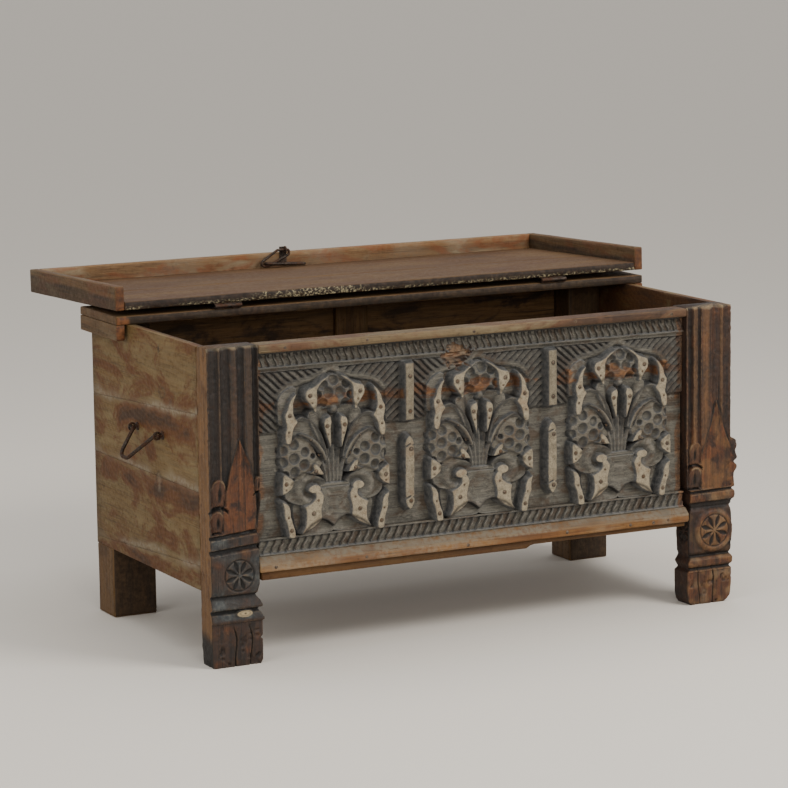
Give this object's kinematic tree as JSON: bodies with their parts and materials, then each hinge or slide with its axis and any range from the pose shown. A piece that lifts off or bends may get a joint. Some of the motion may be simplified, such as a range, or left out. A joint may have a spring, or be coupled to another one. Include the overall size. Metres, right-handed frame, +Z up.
{
  "type": "damchiya chest",
  "caption": "A carved wooden dowry chest on legs, its front carved with vases of flowers, its lid folded open over a rear strip, with iron handles and a hasp.",
  "frame": {"origin": "Middle of the bounding box in plan, on the floor, with the lid folded open as it is at rest", "axes": "+X along the front to the right end, +Y from the carved front to the back, +Z up"},
  "size_m": [1.3018, 0.8896, 0.7149],
  "materials": {
    "panel_wood": "matte",
    "post_wood": "matte",
    "board_wood": "matte",
    "lid_wood": "matte",
    "iron": "matte"
  },
  "bodies": {
    "carcass": {"front_left_post": "post_wood", "front_right_post": "post_wood", "rear_left_leg": "board_wood", "rear_right_leg": "board_wood", "front_top_rail": "board_wood", "front_bottom_rail": "board_wood", "front_floor_bearer": "board_wood", "carved_front_panel": "panel_wood", "front_lower_border": "panel_wood", "front_upper_border": "panel_wood", "left_side_bottom_board": "board_wood", "left_side_lower_board": "board_wood", "left_side_middle_board": "board_wood", "left_side_top_board": "board_wood", "right_side_bottom_board": "board_wood", "right_side_lower_board": "board_wood", "right_side_middle_board": "board_wood", "right_side_top_board": "board_wood", "back_bottom_board": "board_wood", "back_middle_board": "board_wood", "back_top_board": "board_wood", "back_batten": "board_wood", "floor_front_board": "board_wood", "floor_middle_board": "board_wood", "floor_rear_board": "board_wood", "rear_floor_bearer": "board_wood", "left_floor_bearer": "board_wood", "right_floor_bearer": "board_wood", "rear_top_strip": "lid_wood", "strip_left_apron": "lid_wood", "strip_right_apron": "lid_wood", "left_hinge_strip_leaf": "iron", "left_hinge_pin": "iron", "right_hinge_strip_leaf": "iron", "right_hinge_pin": "iron", "left_handle_eyes": "iron", "right_handle_eyes": "iron"},
    "lid": {"lid_front_board": "lid_wood", "lid_rear_board": "lid_wood", "lid_front_rim": "lid_wood", "lid_left_rim": "lid_wood", "lid_right_rim": "lid_wood", "left_hinge_lid_leaf": "iron", "right_hinge_lid_leaf": "iron", "hasp_eye_plate": "iron"},
    "hasp_link_loop": {"hasp_loop": "iron"},
    "hasp_link_bar": {"hasp_bar": "iron"},
    "left_handle": {"left_handle_bail": "iron"},
    "right_handle": {"right_handle_bail": "iron"}
  },
  "joints": [
    {"name": "lid_hinge", "type": "hinge", "parent": "carcass", "child": "lid", "pos_m": [0, -0.04676, 0.659], "axis": [1, 0, 0], "range_deg": [0, 181.8]},
    {"name": "hasp_loop_pivot", "type": "hinge", "parent": "lid", "child": "hasp_link_loop", "pos_m": [-0.03, 0.41195, 0.70632], "axis": [-1, 0, 0], "range_deg": [0, 180]},
    {"name": "hasp_bar_pivot", "type": "hinge", "parent": "hasp_link_loop", "child": "hasp_link_bar", "pos_m": [-0.079, 0.41107, 0.67833], "axis": [0, -0.9995, 0.0314], "range_deg": [0, 15]},
    {"name": "left_handle_pivot", "type": "hinge", "parent": "carcass", "child": "left_handle", "pos_m": [-0.612, -0.14776, 0.432], "axis": [0, 1, 0], "range_deg": [-33, 147]},
    {"name": "right_handle_pivot", "type": "hinge", "parent": "carcass", "child": "right_handle", "pos_m": [0.612, -0.14776, 0.432], "axis": [0, -1, 0], "range_deg": [-33, 147]}
  ]
}
